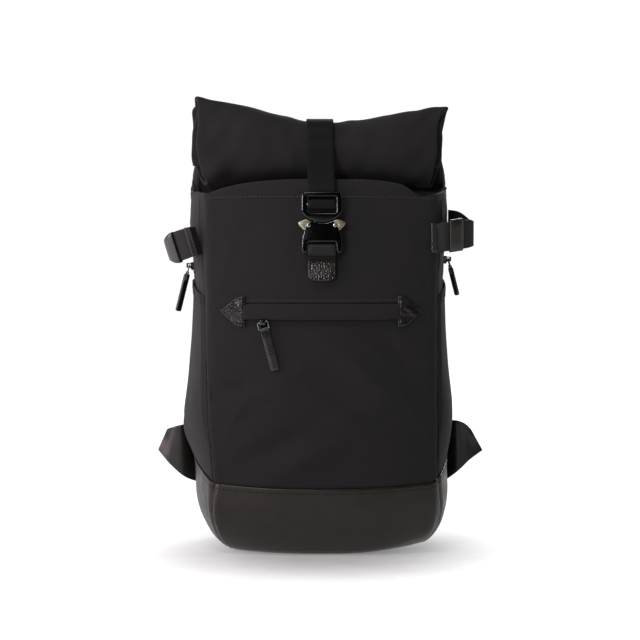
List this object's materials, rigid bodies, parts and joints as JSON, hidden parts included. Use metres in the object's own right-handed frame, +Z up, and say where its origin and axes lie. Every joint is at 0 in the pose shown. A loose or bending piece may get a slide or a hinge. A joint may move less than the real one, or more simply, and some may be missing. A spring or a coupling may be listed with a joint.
{
  "type": "roll-top backpack",
  "caption": "Upright camera backpack with a rolled cloth top held by a buckled strap, a leather foot, a zipped front pocket, side pockets and carrying straps.",
  "frame": {"origin": "middle of the flat leather base, on the floor", "axes": "+Z up, -Y out of the front with the buckle and the zipped pocket, +X to the right of someone facing the front"},
  "size_m": [0.3722, 0.2304, 0.502],
  "materials": {
    "cloth": "matt black woven cloth",
    "padding": "matt black padded mesh cloth",
    "webbing": "black woven webbing",
    "foot_leather": "smooth satin black leather",
    "trim_leather": "grained satin black leather",
    "black_metal": "gloss black",
    "bronze": "satin bronze",
    "steel": "polished"
  },
  "bodies": {
    "bag": {"front_panel": "cloth", "side_panel_left": "cloth", "side_panel_right": "cloth", "side_pocket_left": "cloth", "side_pocket_right": "cloth", "collar": "cloth", "roll_top": "cloth", "zip_flap": "cloth", "back_panel": "padding", "shoulder_strap_left": "padding", "shoulder_strap_right": "padding", "closure_strap": "webbing", "anchor_webbing": "webbing", "side_strap_left": "webbing", "side_strap_right": "webbing", "wing_webbing_left": "webbing", "wing_webbing_right": "webbing", "boot_base": "foot_leather", "boot_front": "foot_leather", "boot_side_left": "foot_leather", "boot_side_right": "foot_leather", "anchor_patch": "trim_leather", "zip_end_left": "trim_leather", "zip_end_right": "trim_leather", "front_pull": "trim_leather", "side_left_pull": "trim_leather", "side_right_pull": "trim_leather", "strap_tab_left": "trim_leather", "strap_tab_right": "trim_leather", "strap_keeper_left": "trim_leather", "strap_keeper_right": "trim_leather", "wing_left": "trim_leather", "wing_right": "trim_leather", "buckle_frame": "black_metal", "buckle_body": "black_metal", "front_slider": "black_metal", "side_left_slider": "black_metal", "side_right_slider": "black_metal", "buckle_rivet_left": "steel", "buckle_rivet_right": "steel", "front_bail": "steel", "side_left_bail": "steel", "side_right_bail": "steel"},
    "lever_left": {"buckle_lever_left": "bronze"},
    "lever_right": {"buckle_lever_right": "bronze"}
  },
  "joints": [
    {"name": "lever_left_turn", "type": "hinge", "parent": "bag", "child": "lever_left", "pos_m": [-0.0143, -0.091, 0.3595], "axis": [0, 0.9925, -0.1219], "range_deg": [0, 12], "stiffness_Nm_per_rad": 0.02},
    {"name": "lever_right_turn", "type": "hinge", "parent": "bag", "child": "lever_right", "pos_m": [0.0143, -0.091, 0.3595], "axis": [0, -0.9925, 0.1219], "range_deg": [0, 12], "stiffness_Nm_per_rad": 0.02}
  ]
}
